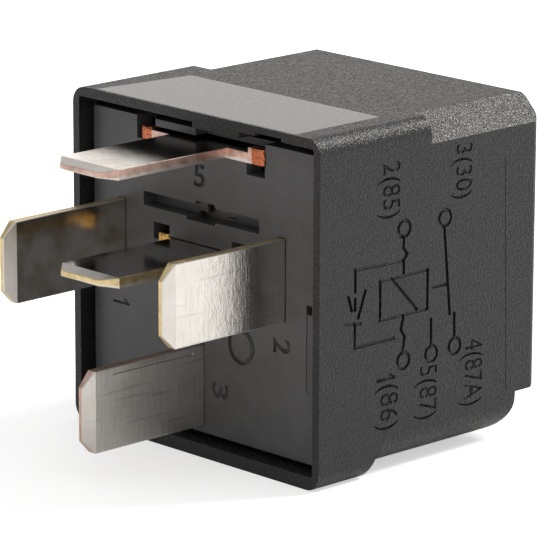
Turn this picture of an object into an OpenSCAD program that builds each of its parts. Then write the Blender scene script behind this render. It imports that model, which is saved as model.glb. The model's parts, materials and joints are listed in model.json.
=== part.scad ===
/* [Cover] */
// Width of the cover, across the two coil terminals
body_w = 26.95; // [26:0.05:32]
// Height of the cover as it lies
body_h = 26.5; // [26:0.1:30]
// Depth of the cover, from its open rim to its closed end
body_d = 23.4; // [23:0.1:30]
// Wall of the cover
wall = 1.05; // [0.9:0.05:1.2]
// Wall of the upper side at the rim
rim_top_t = 0.75; // [0.6:0.05:0.9]
// Wall of the two sides at the rim
rim_side_t = 0.7; // [0.6:0.05:0.9]
// Length of the flat under the skirt, from the rim
skirt_d = 4.9; // [4.5:0.1:5.5]
// Length of the skirt's shoulder behind that flat
shoulder_d = 2.1; // [1.6:0.1:2.6]
// Radius of the four long edges at the skirt
skirt_r = 1.3; // [1.2:0.1:2]
// Height of the case's underside above the skirt's
under_step = 0.62; // [0.4:0.02:0.8]
// Radius of the case's two lower long edges
under_r = 2.3; // [1.6:0.1:2.8]
// Radius of the heel, at the rear of the underside
heel_r = 2.9; // [2.2:0.1:3.3]
// Depth of the end cap that stands out behind the heel
cap_d = 2.35; // [2:0.05:2.8]
// Height of the end cap's underside
cap_z = 3.65; // [3.2:0.05:4.2]
// Radius of the end cap's rear edges
cap_r = 0.8; // [0.4:0.1:1]
// Length of the rounded part of the upper edges, from the rim
round_d = 11.55; // [9:0.05:14]
// Both legs of the bevel behind it, on the diagram's side
bevel_right = 1.98; // [1.4:0.02:2.4]
// Width of the bevel on the other side
bevel_left_w = 3.1; // [2:0.1:3.6]
// Height of the bevel on the other side
bevel_left_h = 2.2; // [1.4:0.1:2.6]
// Width of the tab inside the rim's upper wall
tab_w = 5; // [3:0.5:6]
// Place of the tab's middle, right of the cover's middle
tab_x = 2.4; // [0:0.1:4]
// Drop of the tab below the upper wall
tab_drop = 0.45; // [0.2:0.05:0.6]

/* [Base] */
// How far the base's face lies inside the rim
base_setback = 1.15; // [0.8:0.05:1.6]
// Thickness of the base plate
base_t = 1.6; // [1.4:0.1:2]
// Running gap between the base's sides and the cover
base_fit = 0.05; // [0.03:0.01:0.1]
// Gap below the base
base_low_gap = 0.45; // [0.2:0.05:0.6]
// Gap above the base
base_top_gap = 0.8; // [0.6:0.05:1]
// Gap between a terminal and its slot in the base
slot_fit = 0.05; // [0.03:0.01:0.1]

/* [Terminals] */
// Width of every blade
blade_w = 6.3; // [5.8:0.1:6.5]
// Thickness of every blade and of its strip inside
blade_t = 0.8; // [0.6:0.05:0.9]
// Length of the blades in front of the rim
blade_out = 10.9; // [9:0.1:13]
// Thickness left at a blade's tip
tip_t = 0.42; // [0.3:0.02:0.6]
// Length of the coined bevel at the tip
tip_bevel = 1.15; // [0.8:0.05:1.5]
// Leg of the cut corners at the tip
tip_corner = 1.1; // [0.6:0.1:1.6]
// Place of the terminal pattern, right of the cover's middle
pattern_x = -0.45; // [-0.6:0.05:0]
// Distance between the two coil terminals
coil_pitch = 17.5; // [17:0.1:17.8]
// Height of the coil terminals' middle
coil_term_z = 15.03; // [14.6:0.01:15.4]
// Depth of terminal 87 below the cover's upper side
drop_87 = 2.8; // [2.6:0.05:3.2]
// Height of terminal 87a
z_87a = 15.65; // [15.2:0.05:16]
// Height of the middle of terminal 30
z_30 = 5.25; // [5:0.05:5.6]
// Reach of terminal 87's shoulder to the left of its blade's middle
shoulder_left = 6.3; // [5:0.1:7]
// Reach of that shoulder to the right
shoulder_right = 7; // [5:0.1:7.5]

/* [Magnet] */
// Thickness of the yoke
yoke_t = 1.3; // [1.1:0.1:1.5]
// Width of the yoke and of the armature
yoke_w = 13; // [11:0.5:14]
// Side of the bobbin's square flanges
flange_s = 13.2; // [12.6:0.1:13.4]
// Thickness of the flanges
flange_t = 1; // [0.8:0.1:1.2]
// Diameter of the winding
coil_d = 12.4; // [11.6:0.1:12.6]
// Thickness of the tape over the winding
tape_t = 0.1; // [0.06:0.02:0.14]
// Diameter of the core
core_d = 6; // [5:0.1:6.6]
// Wall of the bobbin's tube
tube_t = 0.6; // [0.5:0.1:0.8]
// Diameter of the core's pole head
pole_d = 8.6; // [7.6:0.1:9.4]
// Thickness of the pole head
pole_t = 1; // [0.8:0.1:1.2]
// Room under the yoke for the return spring
spring_room = 1.95; // [1.9:0.05:2.1]
// Outer diameter of the return spring
spring_d = 1.5; // [1.3:0.1:1.6]
// Wire of the return spring
spring_wire = 0.28; // [0.22:0.02:0.32]
// Turns of the return spring
spring_turns = 11; // [8:1:14]

/* [Contacts] */
// Thickness of the armature
arm_t = 1.2; // [1:0.1:1.3]
// Thickness of the contact blade
leaf_t = 0.3; // [0.2:0.05:0.35]
// Width of the contact blade
leaf_w = 6; // [5:0.5:7]
// Diameter of the contacts' heads
contact_d = 3; // [2.6:0.1:3.2]
// Height of a contact's head
head_t = 0.6; // [0.5:0.05:0.65]
// Stroke at the moving contact
stroke = 0.75; // [0.6:0.05:0.8]
// Gap left between pieces that meet at the end of the stroke
meet_gap = 0.05; // [0.04:0.01:0.08]
// Drop of the contacts below terminal 87
contact_drop = 2.4; // [2.2:0.1:2.6]
// Diameter of the braid
braid_d = 1.8; // [1.4:0.1:2]

/* [Diode] */
// Diameter of the diode's body
diode_d = 2.7; // [2.2:0.1:2.8]
// Length of the diode's body
diode_l = 5.2; // [4.2:0.1:5.6]
// Diameter of the diode's leads
lead_d = 0.7; // [0.5:0.05:0.8]

/* [Hidden] */
$fn = 48;

// A cut reaches this far past what it cuts
past = 1;

// Inside of the cover
in_x = body_w / 2 - wall;
in_top = body_h - wall;
in_rear = body_d - wall;
in_floor = under_step + wall;

// Base plate
base_w = body_w - 2 * wall - 2 * base_fit;
base_low = wall + base_low_gap;
base_top = body_h - rim_top_t - base_top_gap;
base_back = base_setback + base_t;
base_r = max(skirt_r - wall, 0.2);

// Height of terminal 87
z_87 = body_h - drop_87;

// Strips behind the base, then the yoke
strip_gap = 0.2;
strip_y = base_back + strip_gap;
strip_back = strip_y + blade_t;
yoke_gap = 0.25;
yoke_y = strip_back + yoke_gap;
yoke_low = in_floor + spring_room;
yoke_top = yoke_low + yoke_t;
coil_z = yoke_top + flange_s / 2;

// Contacts, counted back from the closed end
rear_gap = 0.25;
tail_t = 0.2;
nc_strip_back = in_rear - rear_gap - tail_t;
nc_head_back = nc_strip_back - blade_t;
nc_face = nc_head_back - (head_t - 0.1);
contact_z = z_87 - contact_drop;
lever = contact_z - yoke_low;
open_angle = asin(stroke / lever);
tilt_rise = (lever + contact_d / 2) * sin(open_angle);

// Attracted place of the armature: its moving contact's rear head then meets the fixed
// contact when the armature swings out by open_angle about hinge_y, yoke_low
moving_rear = (nc_face - meet_gap - tilt_rise);
leaf_back = moving_rear - head_t;
leaf_front = leaf_back - leaf_t;
arm_front = leaf_front - arm_t;
pole_face = arm_front - meet_gap;
hinge_y = arm_front;
no_face = leaf_front - head_t - meet_gap;

// Armature and contact blade
arm_drop = 2.28;
arm_low = in_floor + 0.35;
arm_top = contact_z - contact_d / 2 - arm_drop;
leaf_low = yoke_top + 0.8;
leaf_top = contact_z + contact_d / 2 + 0.15;

// Bobbin and winding
flange_front = yoke_y + yoke_t;
flange_rear = pole_face - pole_t;
tube_d = core_d + 2 * tube_t;

// Moves a shape from the rim's plane to the part's origin, under the middle of its box
centre_y = (blade_out - body_d) / 2;

// Extrudes an outline drawn in X and Z from y0 to y1
module along_y(y0, y1) {
    translate([0, y1, 0])
        rotate([90, 0, 0])
            linear_extrude(y1 - y0)
                children();
}

// Extrudes an outline drawn in Y and Z from x0 to x1
module along_x(x0, x1) {
    translate([x0, 0, 0])
        rotate([90, 0, 90])
            linear_extrude(x1 - x0)
                children();
}

// Box between two corners
module block(low, high) {
    translate(low)
        cube(high - low);
}

// What a rounding of radius r takes off a corner that points along +x and +y
module corner_off(r) {
    difference() {
        translate([-r, -r])
            square(r + past);
        translate([-r, -r])
            circle(r);
    }
}

// Rounded rectangle with one radius below and one above
module rounded_face(w, z0, z1, low_r, top_r) {
    difference() {
        translate([-w / 2, z0])
            square([w, z1 - z0]);
        for (side = [-1, 1]) {
            translate([side * w / 2, z0])
                scale([side, -1])
                    corner_off(low_r);
            translate([side * w / 2, z1])
                scale([side, 1])
                    corner_off(top_r);
        }
    }
}

// Tube of n sides along a path; each ring's first corner points along its own normal
function unit(v) = v / norm(v);
function ring(p, t, n, r, sides) =
    let (b = unit(cross(t, n)), m = cross(b, t))
    [for (k = [0:sides - 1]) p + r * (cos(k * 360 / sides) * m + sin(k * 360 / sides) * b)];

module tube(path, normals, r, sides) {
    last = len(path) - 1;
    tangents = [for (i = [0:last]) unit(path[min(i + 1, last)] - path[max(i - 1, 0)])];
    points = [for (i = [0:last]) each ring(path[i], tangents[i], normals[i], r, sides)];
    walls = [
        for (i = [0:last - 1], k = [0:sides - 1])
            let (a = i * sides + k, b = i * sides + (k + 1) % sides)
            each [[a, b + sides, b], [a, a + sides, b + sides]]
    ];
    ends = [
        [for (k = [0:sides - 1]) k],
        [for (k = [sides - 1:-1:0]) last * sides + k]
    ];
    polyhedron(points, concat(walls, ends), convexity = 10);
}

// Twelve-sided bar from a to b
module bar(a, b, d) {
    v = b - a;
    translate(a)
        rotate([0, acos(v[2] / norm(v)), atan2(v[1], v[0])])
            cylinder(d = d, h = norm(v), $fn = 12);
}

// Bent round wire through a list of points; at a bend both bars run on by a part of d
module wire(points, d) {
    last = len(points) - 1;
    for (i = [1:last]) {
        run_on = unit(points[i] - points[i - 1]) * d * 0.3;
        bar(
            points[i - 1] - (i > 1 ? run_on : [0, 0, 0]),
            points[i] + (i < last ? run_on : [0, 0, 0]),
            d
        );
    }
}

// Cylinder along Y with its middle at x, z
module round_y(x, z, d, y0, y1) {
    translate([x, y1, z])
        rotate([90, 0, 0])
            cylinder(d = d, h = y1 - y0);
}

// Puts what is drawn from the rim's plane at the part's origin
module placed() {
    translate([0, centre_y, 0])
        children();
}

// Cover ------------------------------------------------------------------------------------

// What a bevel of width w and height h takes off a corner
module bevel_off(w, h) {
    polygon([[-w, 0], [0, -h], [past, -h], [past, past], [-w, past]]);
}

// The case seen from the rim, t inside its outer surface
module case_face(t, bevelled) {
    half = body_w / 2 - t;
    top = body_h - t;
    shrink = t * (2 - sqrt(2));
    difference() {
        translate([-half, under_step + t])
            square([2 * half, top - under_step - t]);
        for (side = [-1, 1])
            translate([side * half, under_step + t])
                scale([side, -1])
                    corner_off(under_r - t);
        if (bevelled) {
            translate([half, top])
                bevel_off(bevel_right - shrink, bevel_right - shrink);
            translate([-half, top])
                scale([-1, 1])
                    bevel_off(bevel_left_w - shrink, bevel_left_h - shrink);
        } else {
            for (side = [-1, 1])
                translate([side * half, top])
                    scale([side, 1])
                        corner_off(max(skirt_r - t, 0.2));
        }
    }
}

// The case seen from the diagram's side, t inside its outer surface
module case_side(t) {
    heel_y = body_d - cap_d - t;
    difference() {
        translate([0, under_step + t])
            square([heel_y, body_h - under_step - 2 * t]);
        translate([heel_y, under_step + t])
            scale([1, -1])
                corner_off(heel_r - t);
    }
    difference() {
        translate([heel_y - past, cap_z + t])
            square([cap_d + past, body_h - cap_z - 2 * t]);
        translate([body_d - t, cap_z + t])
            scale([1, -1])
                corner_off(max(cap_r - t, 0.2));
        translate([body_d - t, body_h - t])
            corner_off(max(cap_r / 2 - t, 0.2));
    }
}

// The case seen from above, with its two rounded rear edges
module case_plan() {
    difference() {
        translate([-body_w / 2, 0])
            square([body_w, body_d]);
        for (side = [-1, 1])
            translate([side * body_w / 2, body_d])
                scale([side, 1])
                    corner_off(cap_r);
    }
}

// Long solid of the case, t inside its outer surface
module case_solid(t) {
    intersection() {
        union() {
            along_y(0, round_d - t)
                case_face(t, false);
            along_y(round_d - t, body_d - t)
                case_face(t, true);
        }
        along_x(-body_w, body_w)
            case_side(t);
    }
}

// Skirt round the mouth, its lower side ending in a sloped shoulder
module skirt() {
    shoulder_end = skirt_d + shoulder_d;
    shoulder_top = under_step + under_r;
    intersection() {
        along_y(0, shoulder_end)
            rounded_face(body_w, 0, body_h, skirt_r, skirt_r);
        along_x(-body_w, body_w)
            polygon([
                [0, 0], [skirt_d, 0], [shoulder_end, shoulder_top],
                [shoulder_end, body_h], [0, body_h]
            ]);
    }
}

// Barb that snaps behind the cover's side wall, grown by gap all round
barb_out = 0.35;
barb_y0 = base_setback + 0.35;
barb_y1 = base_back - 0.15;
barb_low = 12;
barb_high = 15;

module barbs(gap) {
    for (side = [-1, 1])
        translate([0, 0, barb_low - gap])
            linear_extrude(barb_high - barb_low + 2 * gap)
                polygon([
                    [side * (base_w / 2 - barb_out), barb_y0 - gap],
                    [side * (base_w / 2 + barb_out + gap), barb_y0 - gap],
                    [side * (base_w / 2 + barb_out + gap), barb_y0 + 0.2],
                    [side * (base_w / 2 + gap), barb_y1 + gap],
                    [side * (base_w / 2 - barb_out), barb_y1 + gap]
                ]);
}

// Ribs inside the cover that the base's rear face stops against
rib_reach = 1.2;
rib_d = 1.5;
side_rib_low = 9;
side_rib_high = 11;
top_rib_x = 8;
top_rib_w = 2;

module ribs() {
    for (side = [-1, 1]) {
        block(
            [side > 0 ? in_x - rib_reach : -in_x - wall / 2, base_back, side_rib_low],
            [side > 0 ? in_x + wall / 2 : -in_x + rib_reach, base_back + rib_d, side_rib_high]
        );
        block(
            [side * top_rib_x - top_rib_w / 2, base_back, base_top - 0.5],
            [side * top_rib_x + top_rib_w / 2, base_back + rib_d, in_top + wall / 2]
        );
    }
}

// Shallow pocket in the rim's upper wall, beside the tab
pocket_x0 = 6.6;
pocket_x1 = 9.4;
pocket_depth = 0.25;

// Inner corners of the mouth, and how far past the base's face its sides are thinned
mouth_r = 0.2;
lead_in = 0.35;

module cover() {
    mouth_top = body_h - rim_top_t;
    color("#46464a")
        placed() {
            difference() {
                union() {
                    skirt();
                    intersection() {
                        case_solid(0);
                        linear_extrude(body_h)
                            case_plan();
                    }
                }
                along_y(-past, base_back)
                    rounded_face(body_w - 2 * wall, wall, mouth_top, base_r, mouth_r);
                along_y(-past, base_setback + lead_in)
                    rounded_face(body_w - 2 * rim_side_t, wall, mouth_top, mouth_r, mouth_r);
                case_solid(wall);
                block([pocket_x0, -past, mouth_top - past],
                    [pocket_x1, base_setback, mouth_top + pocket_depth]);
                barbs(base_fit);
            }
            block(
                [tab_x - tab_w / 2, 0, mouth_top - tab_drop],
                [tab_x + tab_w / 2, base_setback, mouth_top + rim_top_t / 2]
            );
            ribs();
        }
}

// Base -------------------------------------------------------------------------------------

// Places in the base's face, from the pattern's middle and from a terminal's height
coil_x = coil_pitch / 2;
through = base_t + past;
recess_d = 1.1;
slot_d = 1.3;
nub_d = 0.6;
shoulder_y = base_setback - 0.25;
window_x0 = -7;
window_x1 = -4.95;
socket_x0 = 5;
socket_x1 = 6.95;
socket_low = z_87 - 1.35;
bar_x = -0.5;
bar_low = 0.68;
slot_x0 = -6.3;
slot_x1 = 6.35;
slot_z = z_87 - 5.1;
slot_h = 1.1;
well_x0 = -0.5;
well_x1 = 1.6;
well_h = 1.6;
well_left = -1.5;
well_right = 2.6;
well_step = 0.35;
hole_h = 1.3;
left_hole_x0 = -5.2;
left_hole_x1 = -3.4;
right_hole_x0 = 3.4;
right_hole_x1 = 5.2;
ejector_x = 4.45;
ejector_rise = 3.83;
ejector_z = z_30 + ejector_rise;
ejector_d = 2.6;
ejector_line = 0.25;
nub_x = -4.6;

// Recess in the base's face, depth deep
module recess(x0, x1, z0, z1, depth) {
    block([pattern_x + x0, base_setback - past, z0], [pattern_x + x1, base_setback + depth, z1]);
}

// Slot through the base for a blade w wide along X and h high, slot_fit larger all round
module slot(x0, x1, z0, z1) {
    block(
        [pattern_x + x0 - slot_fit, base_setback - past, z0 - slot_fit],
        [pattern_x + x1 + slot_fit, base_back + past, z1 + slot_fit]
    );
}

module base_slots() {
    half_t = blade_t / 2;
    half_w = blade_w / 2;
    for (x = [-coil_x, coil_x])
        slot(x - half_t, x + half_t, coil_term_z - half_w, coil_term_z + half_w);
    slot(-half_t, half_t, z_30 - half_w, z_30 + half_w);
    slot(nub_x, half_w, z_87a - half_t, z_87a + half_t);
    slot(-shoulder_left, shoulder_right, z_87 - half_t, z_87 + half_t);
}

module base_recesses() {
    recess(window_x0, window_x1, z_87 - 0.5, base_top + past, through);
    recess(socket_x0, socket_x1, socket_low, z_87, through);
    recess(window_x1 - past, shoulder_right, z_87, z_87 + bar_low, through);
    recess(bar_x, shoulder_right, z_87, base_top + past, recess_d);
    recess(slot_x0, slot_x1, slot_z - slot_h / 2, slot_z + slot_h / 2, slot_d);
    recess(well_x0, well_x1, slot_z - well_h / 2, slot_z + well_h / 2, through);
    recess(well_left, well_x1, slot_z - well_h / 2, slot_z - well_step, through);
    recess(well_x0, well_right, slot_z - well_step, slot_z + slot_h / 2, through);
    recess(left_hole_x0, left_hole_x1, z_87a, z_87a + hole_h, through);
    recess(right_hole_x0, right_hole_x1, z_87a, z_87a + hole_h, through);
}

// Hole beside the right barb, and the shallow groove that runs down from it
latch_out = 0.85;
latch_w = 0.6;
latch_z = 13.6;
latch_h = 0.7;
groove_low = 6.95;
groove_d = 0.08;

module latch() {
    translate([base_w / 2 - latch_out - latch_w, 0, 0]) {
        block([0, base_setback - past, latch_z - latch_h], [latch_w, base_back + past, latch_z]);
        block([0, base_setback - past, groove_low],
            [latch_w, base_setback + groove_d, latch_z - latch_h + past / 4]);
    }
}

module ejector_mark() {
    depth = 0.12;
    difference() {
        round_y(pattern_x + ejector_x, ejector_z, ejector_d, base_setback - past,
            base_setback + depth);
        round_y(pattern_x + ejector_x, ejector_z, ejector_d - 2 * ejector_line,
            base_setback - 2 * past, base_setback + 2 * depth);
    }
}

// Pads behind the base that carry the yoke
pad_x0 = 3.6;
pad_w = 2.6;
pad_clear = 0.9;

module yoke_pads() {
    for (side = [-1, 1])
        translate([pattern_x + side * (pad_x0 + pad_w / 2) - pad_w / 2, 0, 0])
            block([0, base_back - past / 2, z_30 + blade_w / 2 + pad_clear],
                [pad_w, yoke_y, z_87a - blade_t / 2 - pad_clear]);
}

module base() {
    color("#3a3a3d")
        placed() {
            difference() {
                union() {
                    along_y(base_setback, base_back)
                        rounded_face(base_w, base_low, base_top, base_r, base_r);
                    barbs(0);
                }
                base_slots();
                base_recesses();
                latch();
                ejector_mark();
            }
            yoke_pads();
        }
}

// Terminals --------------------------------------------------------------------------------

// Flat blade with its width along X, its middle at x, z, from the tip to y_end
module blade(x, z, y_end) {
    half_t = blade_t / 2;
    half_tip = tip_t / 2;
    half_w = blade_w / 2;
    bevel_y = tip_bevel - blade_out;
    corner_y = tip_corner - blade_out;
    translate([x, 0, z])
        intersection() {
            along_x(-half_w, half_w)
                polygon([
                    [-blade_out, -half_tip], [bevel_y, -half_t], [y_end, -half_t],
                    [y_end, half_t], [bevel_y, half_t], [-blade_out, half_tip]
                ]);
            translate([0, 0, -half_t])
                linear_extrude(blade_t)
                    polygon([
                        [tip_corner - half_w, -blade_out], [half_w - tip_corner, -blade_out],
                        [half_w, corner_y], [half_w, y_end], [-half_w, y_end], [-half_w, corner_y]
                    ]);
        }
}

// The same blade with its width along Z
module upright_blade(x, z, y_end) {
    translate([x, 0, z])
        rotate([0, 90, 0])
            blade(0, 0, y_end);
}

// Outline in X and Y of a strip bent round the corner at x, y into the room beyond it
bend_r = 0.8;

module bent_room(x0, y0, x1, y1, r) {
    difference() {
        translate([x0, y0])
            square([x1 - x0, y1 - y0]);
        translate([x0, y0])
            scale([-1, -1])
                corner_off(r);
    }
}

// Terminal 30, bent round behind the base to the braid at the left wall
left_strip_gap = 1.13;
left_strip_x = left_strip_gap - in_x - pattern_x;
strip_30_end = flange_rear - 2.5;
strip_30_low = z_30 - 1.2;
strip_30_high = z_30 + blade_w / 2;

module terminal_30() {
    color("#c9c3b6")
        placed() {
            upright_blade(pattern_x, z_30, strip_back);
            translate([pattern_x, 0, strip_30_low])
                linear_extrude(strip_30_high - strip_30_low)
                    difference() {
                        bent_room(left_strip_x, strip_y, blade_t / 2, strip_30_end, bend_r + blade_t);
                        bent_room(left_strip_x + blade_t, strip_back, past, strip_30_end + past,
                            bend_r);
                    }
        }
}

// Coil terminals, each with a narrower tail for its wires
tail_h = 3;
tail_end = yoke_y + 1.7;

module coil_terminal(side) {
    x = pattern_x + side * coil_x;
    upright_blade(x, coil_term_z, base_back + strip_gap);
    block([x - blade_t / 2, base_back, coil_term_z - tail_h / 2],
        [x + blade_t / 2, tail_end, coil_term_z + tail_h / 2]);
}

module terminal_85() {
    color("#c9c3b6")
        placed()
            coil_terminal(1);
}

module terminal_86() {
    color("#c9c3b6")
        placed()
            coil_terminal(-1);
}

// Hole for a fixed contact's shank in a strip whose rear face is at y
module contact_hole(y) {
    round_y(pattern_x, contact_z, contact_shank_d + 2 * snug, y - blade_t - past / 2, y + past / 2);
}

// Terminal 87, whose strip runs back over the coil and down to the fixed closing contact
seat_back = no_face - head_t;
seat_low = contact_z - contact_d / 2 - 0.2;
strip_87_w = 6.4;
staked_w = 1.6;
staked_rise = 0.42;
nub_w = 1.15;
nub_rise = 0.22;

module terminal_87() {
    color("#c9c3b6")
        placed() {
            blade(pattern_x, z_87, base_back);
            block([pattern_x - shoulder_left, shoulder_y, z_87 - blade_t / 2],
                [pattern_x + shoulder_right, base_back, z_87 + blade_t / 2]);
            block([pattern_x + shoulder_right - staked_w, shoulder_y, z_87],
                [pattern_x + shoulder_right, base_setback + nub_d - slot_fit,
                    z_87 + blade_t / 2 + staked_rise]);
            block([pattern_x - shoulder_left, shoulder_y, z_87],
                [pattern_x - shoulder_left + nub_w, base_setback + nub_d - slot_fit,
                    z_87 + blade_t / 2 + nub_rise]);
            difference() {
                along_x(pattern_x - strip_87_w / 2, pattern_x + strip_87_w / 2)
                    difference() {
                        translate([base_back - past / 2, seat_low])
                            square([seat_back - base_back + past / 2, z_87 + blade_t / 2 - seat_low]);
                        translate([base_back - past, seat_low - past])
                            square([seat_back - base_back + past - blade_t,
                                z_87 - blade_t / 2 - seat_low + past]);
                        translate([seat_back, z_87 + blade_t / 2])
                            corner_off(blade_t);
                    }
                contact_hole(seat_back);
            }
        }
}

// Terminal 87a, bent up behind the base and round the right wall to the fixed opening contact
right_strip_gap = 0.27;
right_strip_x = in_x - right_strip_gap - pattern_x;
band_low = contact_z - contact_d / 2 - 0.1;
band_high = contact_z + contact_d / 2 + 0.1;
nc_arm_x = -2.2;

module terminal_87a() {
    half_w = blade_w / 2;
    color("#c9c3b6")
        placed() {
            blade(pattern_x, z_87a, strip_back);
            block([pattern_x + nub_x, base_setback - 0.15, z_87a - blade_t / 2],
                [pattern_x, base_back, z_87a + blade_t / 2]);
            block([pattern_x + nub_x, base_setback - 0.15, z_87a],
                [pattern_x + nub_x + nub_w, base_setback + nub_d - slot_fit,
                    z_87a + blade_t / 2 + nub_rise]);
            block([pattern_x - half_w, strip_y, z_87a - blade_t / 2],
                [pattern_x + half_w, strip_back, band_high]);
            difference() {
                translate([pattern_x, 0, band_low])
                    linear_extrude(band_high - band_low)
                        difference() {
                            bent_strip_room(-half_w, strip_y, right_strip_x, nc_strip_back,
                                bend_r + blade_t);
                            bent_strip_room(-half_w - past, strip_back, right_strip_x - blade_t,
                                nc_head_back, bend_r);
                            translate([-half_w - past, nc_head_back - past])
                                square([half_w + past + nc_arm_x, blade_t + 2 * past]);
                        }
                contact_hole(nc_strip_back);
            }
        }
}

// Rectangle in X and Y with its two corners at x1 rounded
module bent_strip_room(x0, y0, x1, y1, r) {
    difference() {
        translate([x0, y0])
            square([x1 - x0, y1 - y0]);
        translate([x1, y0])
            scale([1, -1])
                corner_off(r);
        translate([x1, y1])
            corner_off(r);
    }
}

// Magnet -----------------------------------------------------------------------------------

// Gap round what is pushed into or wound on something round
snug = 0.02;
core_tail_d = 4.4;
core_head_d = 5.4;
core_head_t = 0.45;
yoke_leg_top = coil_z + 4.4;
lug_y = yoke_y + 5;
lug_t = 0.8;
lug_w = 2.4;
spring_z = yoke_low - spring_room / 2;
hook_hole = 0.75;

module yoke() {
    half_w = yoke_w / 2;
    color("#b9bcc0")
        placed()
            translate([pattern_x, 0, 0])
                difference() {
                    union() {
                        along_x(-half_w, half_w)
                            difference() {
                                translate([yoke_y, yoke_low])
                                    square([pole_face - yoke_y, yoke_leg_top - yoke_low]);
                                translate([yoke_y + yoke_t, yoke_top])
                                    square([pole_face, yoke_leg_top]);
                                translate([yoke_y, yoke_low])
                                    scale([-1, -1])
                                        corner_off(yoke_t);
                            }
                        block([-lug_w / 2, lug_y, spring_z - 0.75],
                            [lug_w / 2, lug_y + lug_t, yoke_top]);
                    }
                    round_y(0, coil_z, core_tail_d + 2 * snug, yoke_y - past,
                        yoke_y + yoke_t + past);
                    round_y(0, spring_z, hook_hole, lug_y - past, lug_y + lug_t + past);
                }
}

module bobbin() {
    color("#1f6f4a")
        placed()
            translate([pattern_x, 0, 0])
                difference() {
                    union() {
                        for (y = [flange_front, flange_rear - flange_t])
                            along_y(y, y + flange_t)
                                rounded_face(flange_s, yoke_top, yoke_top + flange_s, 1, 1);
                        round_y(0, coil_z, tube_d, flange_front, flange_rear);
                    }
                    round_y(0, coil_z, core_d + 2 * snug, flange_front - past, flange_rear + past);
                }
}

// Ring round the coil's axis between the flanges
module coil_ring(outer, inner) {
    y0 = flange_front + flange_t + snug;
    y1 = flange_rear - flange_t - snug;
    difference() {
        round_y(pattern_x, coil_z, outer, y0, y1);
        round_y(pattern_x, coil_z, inner, y0 - past, y1 + past);
    }
}

module coil_winding() {
    color("#8a3b1e")
        placed()
            coil_ring(coil_d, tube_d + 2 * snug);
}

module coil_tape() {
    color("#d9b44a")
        placed()
            coil_ring(coil_d + 2 * tape_t + 2 * snug, coil_d + 2 * snug);
}

module core() {
    color("#a7abb0")
        placed() {
            round_y(pattern_x, coil_z, core_head_d, yoke_y - core_head_t, yoke_y);
            round_y(pattern_x, coil_z, core_tail_d, yoke_y - core_head_t, flange_front + snug);
            round_y(pattern_x, coil_z, core_d, flange_front + snug, pole_face);
            round_y(pattern_x, coil_z, pole_d, flange_rear, pole_face);
        }
}

// Armature and contacts --------------------------------------------------------------------

arm_tail_w = 3;
arm_corner = 2;
rivet_d = 1.6;
rivet_head_d = 2.6;
rivet_head_t = 0.35;
rivet_x = 2;
rivet_z = leaf_low + 1.4;
contact_shank_d = 1.6;

// Swings what is drawn in the attracted place out to rest, about the yoke's outer edge
module swung() {
    translate([pattern_x, hinge_y, yoke_low])
        rotate([-open_angle, 0, 0])
            translate([0, -hinge_y, -yoke_low])
                children();
}

module armature() {
    color("#b9bcc0")
        placed()
            swung()
                difference() {
                    union() {
                        along_y(arm_front, arm_front + arm_t)
                            difference() {
                                translate([-yoke_w / 2, yoke_low])
                                    square([yoke_w, arm_top - yoke_low]);
                                for (side = [-1, 1])
                                    translate([side * yoke_w / 2, arm_top])
                                        scale([side, 1])
                                            corner_off(arm_corner);
                            }
                        block([-arm_tail_w / 2, arm_front, arm_low],
                            [arm_tail_w / 2, arm_front + arm_t, yoke_low + past]);
                    }
                    round_y(0, spring_z, hook_hole, arm_front - past, arm_front + arm_t + past);
                    for (side = [-1, 1])
                        round_y(side * rivet_x, rivet_z, rivet_d + 2 * snug, arm_front - past,
                            arm_front + arm_t + past);
                }
}

module contact_blade() {
    color("#c8763a")
        placed()
            swung()
                difference() {
                    along_y(leaf_front, leaf_back)
                        rounded_face(leaf_w, leaf_low, leaf_top, 0.6, 1.6);
                    for (side = [-1, 1])
                        round_y(side * rivet_x, rivet_z, rivet_d + 2 * snug, leaf_front - past,
                            leaf_back + past);
                    round_y(0, contact_z, contact_shank_d + 2 * snug, leaf_front - past,
                        leaf_back + past);
                }
}

module blade_rivets() {
    color("#b08d4a")
        placed()
            swung()
                for (side = [-1, 1]) {
                    round_y(side * rivet_x, rivet_z, rivet_d, arm_front, leaf_back);
                    round_y(side * rivet_x, rivet_z, rivet_head_d, leaf_back,
                        leaf_back + rivet_head_t);
                }
}

module moving_contact() {
    color("#d8d8d4")
        placed()
            swung() {
                round_y(0, contact_z, contact_d, leaf_front - head_t, leaf_front);
                round_y(0, contact_z, contact_shank_d, leaf_front - snug, leaf_back + snug);
                round_y(0, contact_z, contact_d, leaf_back, leaf_back + head_t);
            }
}

// Fixed contact: head towards y0, shank through a strip, formed tail behind it
module fixed_contact(head0, head1, strip0, strip1, tail0, tail1) {
    round_y(pattern_x, contact_z, contact_d, head0, head1);
    round_y(pattern_x, contact_z, contact_shank_d, strip0, strip1);
    round_y(pattern_x, contact_z, contact_shank_d + 0.6, tail0, tail1);
}

module no_contact() {
    color("#d8d8d4")
        placed()
            fixed_contact(seat_back, no_face, seat_back - blade_t - snug, seat_back + snug,
                seat_back - blade_t - tail_t, seat_back - blade_t);
}

module nc_contact() {
    color("#d8d8d4")
        placed()
            fixed_contact(nc_face, nc_head_back, nc_head_back - snug, nc_strip_back + snug,
                nc_strip_back, nc_strip_back + tail_t);
}

// Return spring between the yoke's lug and the armature's tail, a straight end in each hook hole
spring_steps = 12;
spring_y0 = lug_y + lug_t;
spring_y1 = arm_front;
spring_r = (spring_d - spring_wire) / 2;
end_turns = 1;
end_reach = 0.2;

function spring_radius(turn) =
    spring_r * min(1, turn / end_turns, (spring_turns - turn) / end_turns);

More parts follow.
